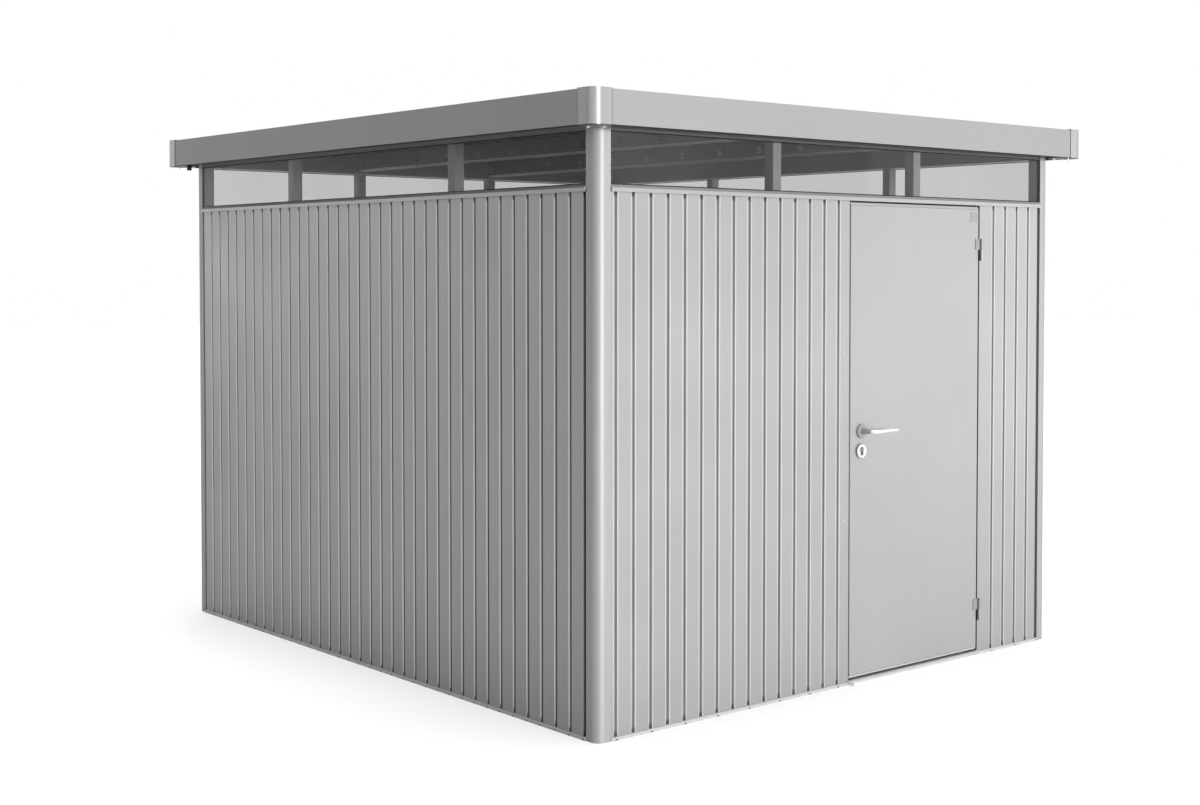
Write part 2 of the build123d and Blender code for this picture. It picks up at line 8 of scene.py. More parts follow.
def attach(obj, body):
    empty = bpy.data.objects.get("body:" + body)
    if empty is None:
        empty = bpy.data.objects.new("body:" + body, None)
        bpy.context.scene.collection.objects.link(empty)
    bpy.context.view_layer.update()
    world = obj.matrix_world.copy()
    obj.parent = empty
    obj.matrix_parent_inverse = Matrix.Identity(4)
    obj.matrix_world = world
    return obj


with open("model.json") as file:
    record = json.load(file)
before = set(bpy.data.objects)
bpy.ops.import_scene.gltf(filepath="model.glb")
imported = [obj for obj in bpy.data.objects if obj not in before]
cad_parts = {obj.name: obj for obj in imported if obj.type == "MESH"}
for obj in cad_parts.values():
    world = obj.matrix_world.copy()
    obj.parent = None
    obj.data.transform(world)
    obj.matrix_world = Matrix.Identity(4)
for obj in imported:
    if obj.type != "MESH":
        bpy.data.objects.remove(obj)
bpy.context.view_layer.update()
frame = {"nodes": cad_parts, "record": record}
nodes = frame["nodes"]
scene = bpy.context.scene
scene.view_settings.view_transform = "Standard"
scene.view_settings.look = "None"

# ------------------------------------------------------------------ camera
cam_data = bpy.data.cameras.new("camera")
cam_data.sensor_width = 36.0
cam_data.lens = 50.3526
cam_data.shift_x = -0.00799
cam_data.shift_y = -0.06952
cam_data.clip_start, cam_data.clip_end = 0.05, 200.0
cam = bpy.data.objects.new("camera", cam_data)
cam.location = (-4.88556, -5.79862, 1.61599)
cam.rotation_euler = (math.radians(90 - 1.7506), math.radians(-0.0088), math.radians(-40.2476))
scene.collection.objects.link(cam)
scene.camera = cam


# --------------------------------------------------------------- materials
class Mat:
    """Small helper around a Principled material."""

    def __init__(self, name):
        self.m = bpy.data.materials.new(name)
        self.m.use_nodes = True
        self.t = self.m.node_tree
        self.t.nodes.clear()
        self.out = self.t.nodes.new("ShaderNodeOutputMaterial")
        self.b = self.t.nodes.new("ShaderNodeBsdfPrincipled")
        self.t.links.new(self.b.outputs[0], self.out.inputs[0])
        self.tc = self.t.nodes.new("ShaderNodeTexCoord")

    def set(self, **values):
        for k, v in values.items():
            self.b.inputs[k.replace("_", " ")].default_value = v
        return self

    def link(self, a, b):
        self.t.links.new(a, b)

    def mapping(self, scale, rot=(0, 0, 0)):
        n = self.t.nodes.new("ShaderNodeMapping")
        n.inputs["Scale"].default_value = scale
        n.inputs["Rotation"].default_value = rot
        self.link(self.tc.outputs["Object"], n.inputs["Vector"])
        return n.outputs[0]

    def noise(self, scale, vec, detail=3.0, rough=0.5):
        n = self.t.nodes.new("ShaderNodeTexNoise")
        n.inputs["Scale"].default_value = scale
        n.inputs["Detail"].default_value = detail
        n.inputs["Roughness"].default_value = rough
        self.link(vec, n.inputs["Vector"])
        return n.outputs["Fac"]

    def voronoi(self, scale, vec, feature="F1", out="Color"):
        n = self.t.nodes.new("ShaderNodeTexVoronoi")
        n.feature = feature
        n.inputs["Scale"].default_value = scale
        self.link(vec, n.inputs["Vector"])
        return n.outputs[out]

    def ramp(self, fac, stops):
        n = self.t.nodes.new("ShaderNodeValToRGB")
        e = n.color_ramp.elements
        while len(e) < len(stops):
            e.new(0.5)
        for el, (p, c) in zip(e, stops):
            el.position = p
            el.color = (c[0], c[1], c[2], 1.0)
        self.link(fac, n.inputs["Fac"])
        return n.outputs["Color"]

    def range(self, fac, lo, hi, fmin=0.0, fmax=1.0):
        n = self.t.nodes.new("ShaderNodeMapRange")
        n.inputs["From Min"].default_value = fmin
        n.inputs["From Max"].default_value = fmax
        n.inputs["To Min"].default_value = lo
        n.inputs["To Max"].default_value = hi
        self.link(fac, n.inputs["Value"])
        return n.outputs["Result"]

    def math(self, op, a, b):
        n = self.t.nodes.new("ShaderNodeMath")
        n.operation = op
        for i, v in enumerate((a, b)):
            if isinstance(v, (int, float)):
                n.inputs[i].default_value = v
            else:
                self.link(v, n.inputs[i])
        return n.outputs[0]

    def mix(self, fac, a, b):
        n = self.t.nodes.new("ShaderNodeMix")
        n.data_type = "RGBA"
        for s, v in ((n.inputs["Factor"], fac), (n.inputs[6], a), (n.inputs[7], b)):
            if isinstance(v, (int, float)):
                s.default_value = v
            elif isinstance(v, tuple):
                s.default_value = (*v, 1.0)
            else:
                self.link(v, s)
        return n.outputs[2]

    def bump(self, height, strength, distance):
        n = self.t.nodes.new("ShaderNodeBump")
        n.inputs["Strength"].default_value = strength
        n.inputs["Distance"].default_value = distance
        self.link(height, n.inputs["Height"])
        self.link(n.outputs[0], self.b.inputs["Normal"])


def grey(v, warm=0.0):
    return (v * (1 + warm), v, v * (1 - warm))


def paint(name, value, metallic, rough, spread=0.03, warm=0.0, shade_below=None, leaf_bend_light_and_shade=False, spec=0.5):
    """Metallic silver coating on folded sheet: fine flake, faint clouding, light dust; optionally a painted highlight
    and a painted shade line on bends, and painted shade underneath.
    """
    m = Mat(name)
    m.set(Metallic=metallic, Specular_IOR_Level=spec)
    obj = m.mapping((1, 1, 1))
    cloud = m.noise(1.3, obj, 3.0, 0.55)
    streak = m.noise(9.0, m.mapping((1.0, 1.0, 0.06)), 3.0, 0.6)
    flake = m.voronoi(1400.0, obj)
    base = m.mix(m.range(cloud, 0.0, 1.0, 0.3, 0.7), grey(value * (1 - spread), warm), grey(value * (1 + spread), warm))
    base = m.mix(m.range(streak, 0.0, 0.10, 0.45, 0.75), base, grey(value * 0.86, warm + 0.006))
    base = m.mix(0.035, base, flake)
    if leaf_bend_light_and_shade:
        # bends at the leaf's top and bottom edges: painted highlight on the slope, and a fine painted shade line beside
        # it
        sep = m.t.nodes.new("ShaderNodeSeparateXYZ")
        m.link(m.tc.outputs["Object"], sep.inputs[0])
        z = sep.outputs[2]
        slope_highlight = m.math("MAXIMUM", m.range(z, 0.0, 1.0, 1.8580, 1.8588), m.range(z, 1.0, 0.0, 0.0332, 0.0340))
        base = m.mix(m.math("MULTIPLY", slope_highlight, 0.8), base, grey(value * 1.45))
        bend_shade_line = m.math("MAXIMUM",
                      m.math("MULTIPLY", m.range(z, 0.0, 1.0, 1.8558, 1.8564), m.range(z, 1.0, 0.0, 1.8574, 1.8580)),
                      m.math("MULTIPLY", m.range(z, 0.0, 1.0, 0.0340, 0.0346), m.range(z, 1.0, 0.0, 0.0356, 0.0362)))
        base = m.mix(m.math("MULTIPLY", bend_shade_line, 0.8), base, grey(value * 0.30))
    if shade_below:
        # painted shade on the underside, below the given heights
        sep = m.t.nodes.new("ShaderNodeSeparateXYZ")
        m.link(m.tc.outputs["Object"], sep.inputs[0])
        base = m.mix(m.range(sep.outputs[2], 1.0, 0.0, *shade_below), base, grey(value * 0.12))
    m.link(base, m.b.inputs["Base Color"])
    m.link(m.range(m.noise(3.0, obj, 4.0), rough - 0.05, rough + 0.06, 0.3, 0.7), m.b.inputs["Roughness"])
    m.bump(m.noise(260.0, obj, 2.0), 0.10, 0.0004)
    return m.m


def grooved(name, value, metallic, rough, along, face, inward, phase, bend, seam, flank, dark, plain=None):
    """Wall coating: as paint(), with painted shade in the groove floors and painted highlights on the bends.

    along: 0 or 1, the axis that the grooves are spaced along; face: where the outer face
    lies on the other axis; inward: +1 or -1, the way into the wall; phase: a groove's middle;
    seam: from where to where across a groove, in metres, the painted shade lies; flank: how much
    painted highlight the sloping sides get; dark: how heavy the painted shade is; plain: a stretch
    that has no grooves in it."""
    m = Mat(name)
    m.set(Metallic=metallic, Specular_IOR_Level=0.5)
    obj = m.mapping((1, 1, 1))
    cloud = m.noise(1.3, obj, 3.0, 0.55)
    streak = m.noise(9.0, m.mapping((1.0, 1.0, 0.06)), 3.0, 0.6)
    flake = m.voronoi(1400.0, obj)
    base = m.mix(m.range(cloud, 0.0, 1.0, 0.3, 0.7), grey(value * 0.975), grey(value * 1.025))
    base = m.mix(m.range(streak, 0.0, 0.08, 0.45, 0.75), base, grey(value * 0.86, 0.006))
    base = m.mix(0.03, base, flake)
    sep = m.t.nodes.new("ShaderNodeSeparateXYZ")
    m.link(m.tc.outputs["Object"], sep.inputs[0])
    u, w = sep.outputs[along], sep.outputs[1 - along]
    depth = m.math("MULTIPLY", m.math("SUBTRACT", w, face), float(inward))
    off = m.math("FRACT", m.math("ADD", m.math("DIVIDE", m.math("SUBTRACT", u, phase), 0.08), 100.5), 0.0)
    off = m.math("MULTIPLY", m.math("SUBTRACT", off, 0.5), 0.08)
    near = m.math("ABSOLUTE", off, 0.0)
    # painted highlight along the bends at each groove's edges
    shallow = m.range(depth, 1.0, 0.0, 0.0004, 0.0022)
    groove_bend_highlight = m.math("MULTIPLY", m.range(near, 1.0, 0.0, 0.0100, 0.0128), m.range(near, 0.0, 1.0, 0.0055, 0.0085))
    groove_bend_highlight = m.math("MULTIPLY", groove_bend_highlight, shallow)
    if plain:
        groove_bend_highlight = m.math("MULTIPLY", groove_bend_highlight, m.math("MAXIMUM", m.range(u, 1.0, 0.0, plain[0], plain[0] + 0.002), m.range(u, 0.0, 1.0, plain[1] - 0.002, plain[1])))
    base = m.mix(m.math("MULTIPLY", groove_bend_highlight, bend), base, grey(min(1.0, value * 1.9)))
    if flank:
        # painted highlight on the groove flanks
        slope_highlight = m.math("MULTIPLY", m.range(depth, 0.0, 1.0, 0.0001, 0.0008), m.range(depth, 1.0, 0.0, 0.0032, 0.0039))
        base = m.mix(m.math("MULTIPLY", slope_highlight, flank), base, grey(min(1.0, value * 2.3)))
    # painted shade in the groove floors and the deep channels beside the posts, in uneven patches
    grime = m.range(depth, 0.0, 1.0, *((0.0030, 0.0038) if flank else (0.0012, 0.0026)))
    deep = m.range(depth, 0.0, 1.0, 0.0050, 0.0070)
    side = m.math("MULTIPLY", m.range(off, 0.0, 1.0, seam[0] - 0.0006, seam[0] + 0.0006), m.range(off, 1.0, 0.0, seam[1] - 0.0006, seam[1] + 0.0006))
    grime = m.math("MULTIPLY", grime, m.math("MAXIMUM", side, deep))
    spots = m.range(m.noise(30.0, m.mapping((1.0, 1.0, 0.10)), 3.0), dark - 0.05, dark + 0.09, 0.35, 0.65)
    base = m.mix(m.math("MULTIPLY", grime, spots), base, grey(value * 0.10))
    # painted shade at the groove ends, under the window rail and just above the base rail
    groove_end_shade = m.math("MAXIMUM", m.range(sep.outputs[2], 0.0, 1.0, 1.854, 1.866), m.range(sep.outputs[2], 1.0, 0.0, 0.021, 0.033))
    groove_end_shade = m.math("MULTIPLY", groove_end_shade, m.range(depth, 0.0, 0.85, 0.0006, 0.0020))
    base = m.mix(groove_end_shade, base, grey(value * 0.08))
    splash = m.math("MULTIPLY", m.range(sep.outputs[2], 0.16, 0.0, 0.02, 0.35), m.range(m.noise(14.0, obj, 4.0), 0.3, 1.0, 0.35, 0.65))
    base = m.mix(splash, base, grey(value * 0.70, 0.01))
    m.link(base, m.b.inputs["Base Color"])
    m.link(m.range(m.noise(3.0, obj, 4.0), rough - 0.05, rough + 0.06, 0.3, 0.7), m.b.inputs["Roughness"])
    m.bump(m.noise(260.0, obj, 2.0), 0.10, 0.0004)
    return m.m


def brushed(name, value, metallic, rough, scale, warm=0.0, bump=0.12, caps=False, near_door_shade=None):
    """Drawn or brushed metal: fine lines along the long direction given by scale."""
    m = Mat(name)
    m.set(Metallic=metallic)
    lines = m.noise(60.0, m.mapping(scale), 5.0, 0.65)
    cloud = m.noise(2.0, m.mapping((1, 1, 1)), 3.0)
    base = m.mix(m.range(lines, 0.0, 1.0, 0.3, 0.7), grey(value * 0.94, warm), grey(value * 1.04, warm))
    base = m.mix(m.range(cloud, 0.0, 0.12, 0.45, 0.7), base, grey(value * 0.82, warm))
    if near_door_shade:
        # neck of a lever, or rim of a plate: painted shade, darker close to the door
        sep = m.t.nodes.new("ShaderNodeSeparateXYZ")
        m.link(m.tc.outputs["Object"], sep.inputs[0])
        out = m.math("ABSOLUTE", m.math("ADD", sep.outputs[1], 1.45), 0.0)
        base = m.mix(m.range(out, near_door_shade[2], 0.0, near_door_shade[0], near_door_shade[1]), base, grey(value * 0.30))
    if caps:
        # painted shade on the underside, and a dark joint where each cap meets the fascia
        sep = m.t.nodes.new("ShaderNodeSeparateXYZ")
        m.link(m.tc.outputs["Object"], sep.inputs[0])
        ax, ay = m.math("ABSOLUTE", sep.outputs[0], 0.0), m.math("ABSOLUTE", sep.outputs[1], 0.0)
        cap_joint_and_shade = m.math("MAXIMUM", m.range(ax, 1.0, 0.0, 1.2912, 1.2922), m.range(ay, 1.0, 0.0, 1.4842, 1.4852))
        cap_joint_and_shade = m.math("MAXIMUM", cap_joint_and_shade, m.range(sep.outputs[2], 1.0, 0.0, 2.0884, 2.0894))
        base = m.mix(cap_joint_and_shade, base, grey(value * 0.15))
    m.link(base, m.b.inputs["Base Color"])
    m.link(m.range(lines, rough - 0.05, rough + 0.07, 0.3, 0.7), m.b.inputs["Roughness"])
    m.bump(lines, bump, 0.0002)
    return m.m


def galvanised(name, value, metallic, rough, lit_band=None):
    """Zinc-coated steel: crystal spangle, faint white bloom."""
    m = Mat(name)
    m.set(Metallic=metallic)
    obj = m.mapping((1, 1, 1))
    sp = m.voronoi(150.0, obj)
    bw = m.t.nodes.new("ShaderNodeRGBToBW")
    m.link(sp, bw.inputs[0])
    bloom = m.noise(5.0, obj, 4.0, 0.6)
    base = m.mix(m.range(bw.outputs[0], 0.0, 1.0), grey(value * 0.90), grey(value * 1.08))
    base = m.mix(m.range(bloom, 0.0, 0.25, 0.5, 0.8), base, grey(value * 1.25))
    if lit_band:
        # painted highlight: a bright band along a flange's bottom edge at the given heights
        sep = m.t.nodes.new("ShaderNodeSeparateXYZ")
        m.link(m.tc.outputs["Object"], sep.inputs[0])
        base = m.mix(m.range(sep.outputs[2], 1.0, 0.0, *lit_band), base, grey(0.95))
    m.link(base, m.b.inputs["Base Color"])
    m.link(m.range(bw.outputs[0], rough - 0.06, rough + 0.08), m.b.inputs["Roughness"])
    m.bump(m.noise(300.0, obj, 2.0), 0.08, 0.0003)
    return m.m


def rubber(name, value, rough=0.7):
    m = Mat(name)
    m.set(Specular_IOR_Level=0.15)
    obj = m.mapping((1, 1, 1))
    m.link(m.mix(m.range(m.noise(25.0, obj, 3.0), 0.0, 0.6, 0.4, 0.7), grey(value), grey(value * 1.8)), m.b.inputs["Base Color"])
    m.link(m.range(m.noise(60.0, obj, 2.0), rough - 0.08, rough + 0.08, 0.3, 0.7), m.b.inputs["Roughness"])
    m.bump(m.noise(900.0, obj, 2.0), 0.2, 0.0003)
    return m.m


def pane(name):
    """Clear glazing with a faint grey tint; each face lets most light through."""
    m = Mat(name)
    m.set(Roughness=0.04, IOR=1.45, Alpha=0.15, Metallic=0.0)
    obj = m.mapping((1, 1, 1))
    m.link(m.mix(m.range(m.noise(1.1, obj, 2.0), 0.0, 1.0, 0.35, 0.65), (0.112, 0.108, 0.109), (0.140, 0.135, 0.136)), m.b.inputs["Base Color"])
    m.link(m.range(m.noise(2.2, obj, 3.0), 0.165, 0.190, 0.35, 0.65), m.b.inputs["Alpha"])
    m.m.surface_render_method = "BLENDED"
    return m.m


wall_paint = paint("silver_paint", 0.34, 0.30, 0.40)
door_paint = paint("silver_paint_door", 0.335, 0.30, 0.40, 0.02, leaf_bend_light_and_shade=True)
base_paint = paint("silver_paint_base", 0.49, 0.25, 0.42)
trim_paint = paint("silver_paint_trim", 0.36, 0.35, 0.36)
fascia_paint = paint("silver_paint_fascia", 0.268, 0.05, 0.58, 0.02, shade_below=(2.0892, 2.0904), spec=0.25)
post_metal = brushed("trim_aluminium", 0.335, 0.27, 0.50, (1.0, 1.0, 0.02), bump=0.0)
sill_metal = brushed("trim_aluminium_sill", 0.85, 0.35, 0.34, (0.02, 1.0, 1.0))
cap_metal = brushed("corner_caps", 0.33, 0.25, 0.36, (1.0, 1.0, 0.03), bump=0.0, caps=True)
inner_steel = galvanised("inner_steel", 0.20, 0.35, 0.46)
roof_steel = galvanised("inner_steel_roof", 0.20, 0.35, 0.46)
# beams and the back and right headers: painted highlight band along their bottom edges
beam_steel = galvanised("inner_steel_beam", 0.22, 0.35, 0.46, lit_band=(2.1042, 2.1058))
header_steel = galvanised("inner_steel_header", 0.19, 0.35, 0.46, lit_band=(2.0812, 2.0835))
# front and left headers: a darker copy of the header steel, painted shade under the fascia
shaded_header_steel = galvanised("inner_steel_header_shaded", 0.16, 0.35, 0.50)
mullion_steel = galvanised("inner_steel_mullion", 0.24, 0.30, 0.50)
glass = pane("glazing")
black = rubber("black_plastic", 0.012, 0.5)
handle_metal = brushed("handle_metal", 0.80, 0.40, 0.30, (0.05, 1.0, 1.0), bump=0.0, near_door_shade=(0.0700, 0.0735, 0.75))
rose_metal = brushed("handle_metal_rose", 0.34, 0.70, 0.34, (1.0, 1.0, 0.1), bump=0.04)
lock_metal = brushed("handle_metal_lock", 0.66, 0.45, 0.30, (1.0, 1.0, 0.1), bump=0.04, near_door_shade=(0.0250, 0.0256, 0.9))
cylinder_metal = brushed("lock_cylinder_steel", 0.10, 0.40, 0.40, (1.0, 1.0, 0.2))
plug_metal = brushed("lock_plug_steel", 0.30, 0.50, 0.36, (1.0, 1.0, 0.2))
hinge_metal = brushed("hinge_steel", 0.33, 0.30, 0.45, (1.0, 1.0, 0.1), bump=0.03)
hinge_wing_metal = brushed("hinge_steel_door", 0.275, 0.25, 0.50, (1.0, 1.0, 0.1), bump=0.03)
fittings = brushed("steel_fittings", 0.55, 0.7, 0.32, (1.0, 1.0, 0.1))
shade_black = rubber("shade_black", 0.008, 0.8)

slot_mats = {
    "silver_paint": wall_paint,
    "trim_aluminium": post_metal,
    "corner_caps": cap_metal,
    "inner_steel": inner_steel,
    "glazing": glass,
    "black_plastic": black,
    "handle_metal": handle_metal,
    "steel_fittings": fittings,
}
wall_y0 = grooved("silver_paint_front", 0.335, 0.30, 0.36, 0, -1.463, 1, -1.188, 0.8, (-0.0018, 0.0068), 0.0, 0.66, (-0.030, 0.860))
wall_y1 = grooved("silver_paint_back", 0.335, 0.30, 0.36, 0, 1.463, -1, -1.188, 0.8, (-0.0068, 0.0018), 0.0, 0.66)
wall_x0 = grooved("silver_paint_left", 0.335, 0.30, 0.36, 1, -1.2695, 1, -1.396, 0.25, (-0.0100, 0.0052), 0.9, 0.92)
wall_x1 = grooved("silver_paint_right", 0.335, 0.30, 0.36, 1, 1.2695, -1, -1.396, 0.25, (-0.0100, 0.0052), 0.9, 0.92)
own = {
    "front_wall_left": wall_y0,
    "front_wall_right": wall_y0,
    "back_wall": wall_y1,
    "left_wall": wall_x0,
    "right_wall": wall_x1,
    "door_leaf": door_paint,
    "door_inner_sheet": door_paint,
    "door_sill": sill_metal,
    "window_rail_front": trim_paint,
    "window_rail_back": trim_paint,
    "window_rail_left": trim_paint,
    "window_rail_right": trim_paint,
    "base_rail_front": base_paint,
    "base_rail_back": base_paint,
    "base_rail_left": base_paint,
    "base_rail_right": base_paint,
    "fascia_front": fascia_paint,
    "fascia_back": fascia_paint,
    "fascia_left": fascia_paint,
    "fascia_right": fascia_paint,
    "roof_sheet_front": roof_steel,
    "roof_sheet_middle": roof_steel,
    "roof_sheet_rear": roof_steel,
    "roof_beams": beam_steel,
    "header_front": shaded_header_steel,
    "header_back": header_steel,
    "header_left": shaded_header_steel,
    "header_right": header_steel,
    "window_posts": mullion_steel,
    "hinge_frame_halves": hinge_metal,
    "hinge_door_halves": hinge_wing_metal,
    "handle_roses": rose_metal,
    "lock_plates": lock_metal,
}
slot_of = {s["node"]: s["material_slot"] for s in frame["record"]["subparts"]}
for n, o in nodes.items():
    mat = own.get(n) or slot_mats[slot_of[n]]
    if not o.material_slots:
        o.data.materials.append(mat)
    for s in o.material_slots:
        s.material = mat


# ------------------------------------------------------------ mesh helpers
def put(name, verts, faces, mat, body, slot, smooth=False):
    me = bpy.data.meshes.new(name)
    me.from_pydata([tuple(v) for v in verts], [], faces)
    me.materials.append(mat)
    if smooth:
        for p in me.polygons:
            p.use_smooth = True
    me.update()
    o = bpy.data.objects.new(name, me)
    scene.collection.objects.link(o)
    if smooth:
        mod = o.modifiers.new("edges", "EDGE_SPLIT")
        mod.split_angle = math.radians(38)
    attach(o, body)
    return o


def lathe(profile, origin, axis, seg=20, start=0.0):
    """Turned solid: profile is [(radius, height), ...] along axis, closed at both ends."""
    a = Vector(axis).normalized()
    u = a.orthogonal().normalized()
    w = a.cross(u)
    o = Vector(origin)
    verts, faces, rings = [], [], []
    for r, h in profile:
        if r < 1e-7:
            rings.append([len(verts)])
            verts.append(o + a * h)
        else:
            ring = []
            for i in range(seg):
                t = start + 2 * math.pi * i / seg
                ring.append(len(verts))
                verts.append(o + a * h + (u * math.cos(t) + w * math.sin(t)) * r)
            rings.append(ring)
    for p, q in zip(rings, rings[1:]):
        if len(p) == 1 and len(q) == 1:
            continue
        for i in range(seg):
            j = (i + 1) % seg
            if len(p) == 1:
                faces.append((p[0], q[i], q[j]))
            elif len(q) == 1:
                faces.append((p[i], q[0], p[j]))
            else:
                faces.append((p[i], q[i], q[j], p[j]))
    return verts, faces


def prism(outline, to3d, h0, h1):
    """Closed outline [(u, v)] between h0 and h1; to3d(u, v, h) gives the point."""
    n = len(outline)
    verts = [Vector(to3d(u, v, h)) for h in (h0, h1) for u, v in outline]
    faces = [tuple(range(n))[::-1], tuple(range(n, 2 * n))]
    faces += [(i, (i + 1) % n, n + (i + 1) % n, n + i) for i in range(n)]
    return verts, faces


def join(parts):
    verts, faces = [], []
    for v, f in parts:
        k = len(verts)
        verts += v
        faces += [tuple(i + k for i in t) for t in f]
    return verts, faces


def strip(section, axis, a, b):
    """Straight bar of the given section between a and b along axis 'x', 'y' or 'z'."""
    if axis == "x":
        return prism(section, lambda u, v, h: (h, u, v), a, b)
    if axis == "y":
        return prism(section, lambda u, v, h: (u, h, v), a, b)
    return prism(section, lambda u, v, h: (u, v, h), a, b)


def bead(u0, u1, v0, v1, r):
    """Rectangle with its four corners cut, as a section."""
    return [(u0 + r, v0), (u1 - r, v0), (u1, v0 + r), (u1, v1 - r),
            (u1 - r, v1), (u0 + r, v1), (u0, v1 - r), (u0, v0 + r)]


def domed(r, h):
    """Profile of a low domed rivet or screw head."""
    return [(0.0, -0.0006), (r, -0.0006), (r, h * 0.25), (r * 0.92, h * 0.62), (r * 0.66, h * 0.9), (r * 0.3, h), (0.0, h * 1.02)]


def screws(name, places, r, h, mat, body, slot, seg=14):
    return put(name, *join([lathe(domed(r, h), p, d, seg) for p, d in places]), mat, body, slot, smooth=True)


# -------------------------------------------------- dimensions of the CAD
WX, WY = 1.2725, 1.466
PX, PY = WX - 0.060, WY - 0.060
FY = -(WY - 0.003)
FX = -(WX - 0.003)
LEAF = -1.467

# ------------------------------------------------------ glazing seals, black
parts = []
zb, zt = 1.898, 2.081
for s in (-1, 1):
    # bottom and top seals in front of each pane
    y = s * (WY - 0.003)
    for z0, z1 in ((zb, zb + 0.0035), (zt - 0.0035, zt)):
        parts.append(strip(bead(min(y, y + s * 0.0014), max(y, y + s * 0.0014), z0, z1, 0.0004), "x", -PX, PX))
    x = s * (WX - 0.003)
    for z0, z1 in ((zb, zb + 0.0035), (zt - 0.0035, zt)):
        parts.append(strip(bead(min(x, x + s * 0.0014), max(x, x + s * 0.0014), z0, z1, 0.0004), "y", -PY, PY))
    # upright seals at the far end of each pane
    parts.append(strip(bead(PX - 0.014, PX, min(y, y + s * 0.0022), max(y, y + s * 0.0022), 0.0005), "z", zb, zt))
    parts.append(strip(bead(min(x, x + s * 0.0022), max(x, x + s * 0.0022), PY - 0.008, PY, 0.0005), "z", zb, zt))
put("glazing_seals", *join(parts), black, "shell", "black_plastic")

# ------------------------------------------------------------- door details
# rubber seal on the stop behind the leaf, all round the opening
sy0, sy1 = -1.4328, -1.4272
parts = [
    strip(bead(-0.0010, 0.0070, sy0, sy1, 0.0015), "z", 0.030, 1.860),
    strip(bead(0.7765, 0.7845, sy0, sy1, 0.0015), "z", 0.030, 1.860),
]
parts.append(strip(bead(-1.4545, -1.4440, 1.8688, 1.8734, 0.0008), "x", 0.0, 0.784))
put("door_seal", *join(parts), black, "shell", "black_plastic")
parts = [strip(bead(-0.0092, -0.0040, -1.4628, -1.4596, 0.0006), "z", 0.020, 1.872)]
put("jamb_cover", *join(parts), wall_paint, "shell", "silver_paint")
# black strip on the wall face just past the hinge-side gap: painted shade of that gap; a second black strip along the
# gap under the leaf
parts = [strip(bead(0.7914, 0.7966, -1.4646, -1.4628, 0.0005), "z", 0.020, 1.872),
         strip(bead(-1.4560, -1.4440, 0.0164, 0.0224, 0.0008), "x", 0.0, 0.784)]
put("hinge_gap_shade_and_sill_strip", *join(parts), black, "shell", "black_plastic")
# black strips behind the drain notches at the foot of the base rails: painted shade, so the notches read dark
parts = []
for s, spans in ((-1, ((-1.210, -0.012), (0.795, 1.210))), (1, ((-1.210, 1.210),))):
    for a, b in spans:
        parts.append(strip(bead(min(s * 1.4600, s * 1.4698), max(s * 1.4600, s * 1.4698), 0.0003, 0.0062, 0.0005), "x", a, b))
    parts.append(strip(bead(min(s * 1.2665, s * 1.2763), max(s * 1.2665, s * 1.2763), 0.0003, 0.0062, 0.0005), "y", -1.403, 1.403))
put("notch_shade_strips", *join(parts), black, "shell", "black_plastic")

# plain bare plate near the door's upper corner
x0, x1, z0, z1 = 0.7300, 0.7790, 1.8040, 1.8460
out = [(x0 + 0.004, z0), (x1 - 0.004, z0), (x1 - 0.001, z0 + 0.001), (x1, z0 + 0.004), (x1, z1 - 0.004),
       (x1 - 0.001, z1 - 0.001), (x1 - 0.004, z1), (x0 + 0.004, z1), (x0 + 0.001, z1 - 0.001), (x0, z1 - 0.004),
       (x0, z0 + 0.004), (x0 + 0.001, z0 + 0.001)]
plate_metal = brushed("plain_plate", 0.29, 0.30, 0.48, (0.1, 1.0, 1.0), bump=0.05)
put("plain_plate", *prism(out, lambda u, v, h: (u, h, v), LEAF, LEAF - 0.0008), plate_metal, "door", "silver_paint")


# euro-profile cylinder, proud of both lock plates, with a key slot
def profile_cylinder(cx, cz, r=0.0085, w=0.0050, drop=0.0165, seg=22):
    a = math.asin(w / r)
    pts = []
    for i in range(seg + 1):
        t = -math.pi / 2 + a + (2 * math.pi - 2 * a) * i / seg
        pts.append((cx + r * math.cos(t), cz + r * math.sin(t)))
    for i in range(9):
        t = math.pi + math.pi * i / 8
        pts.append((cx + w * math.cos(t), cz - drop + w * math.sin(t)))
    return pts


lock_x, lock_z = 0.057, 0.905
cyl = profile_cylinder(lock_x, lock_z + 0.006)
front_y, back_y = LEAF - 0.009, LEAF + 0.034 + 0.009
# dark rims behind each cylinder: painted shade of the gap round it in the lock plate
rim = profile_cylinder(lock_x, lock_z + 0.006, 0.0099, 0.0064, 0.0165)
parts = [prism(rim, lambda u, v, h: (u, h, v), front_y + 0.0005, front_y - 0.0002),
         prism(rim, lambda u, v, h: (u, h, v), back_y - 0.0005, back_y + 0.0002)]
put("lock_gap_shade", *join(parts), shade_black, "door", "black_plastic")
put("lock_cylinder_outer", *prism(cyl, lambda u, v, h: (u, h, v), front_y + 0.001, front_y - 0.0022), cylinder_metal, "door", "steel_fittings")
put("lock_cylinder_inner", *prism(cyl, lambda u, v, h: (u, h, v), back_y - 0.001, back_y + 0.0022), cylinder_metal, "door", "steel_fittings")
parts = []
for y0, y1, s in ((front_y - 0.0022, front_y - 0.0031, -1), (back_y + 0.0022, back_y + 0.0031, 1)):
    parts.append(lathe([(0.0, 0.0), (0.0066, 0.0), (0.0066, 0.0007), (0.0061, 0.0010), (0.0, 0.0010)],
                       (lock_x, y0, lock_z + 0.006), (0, s, 0), 24))
put("lock_plugs", *join(parts), plug_metal, "door", "steel_fittings", smooth=True)
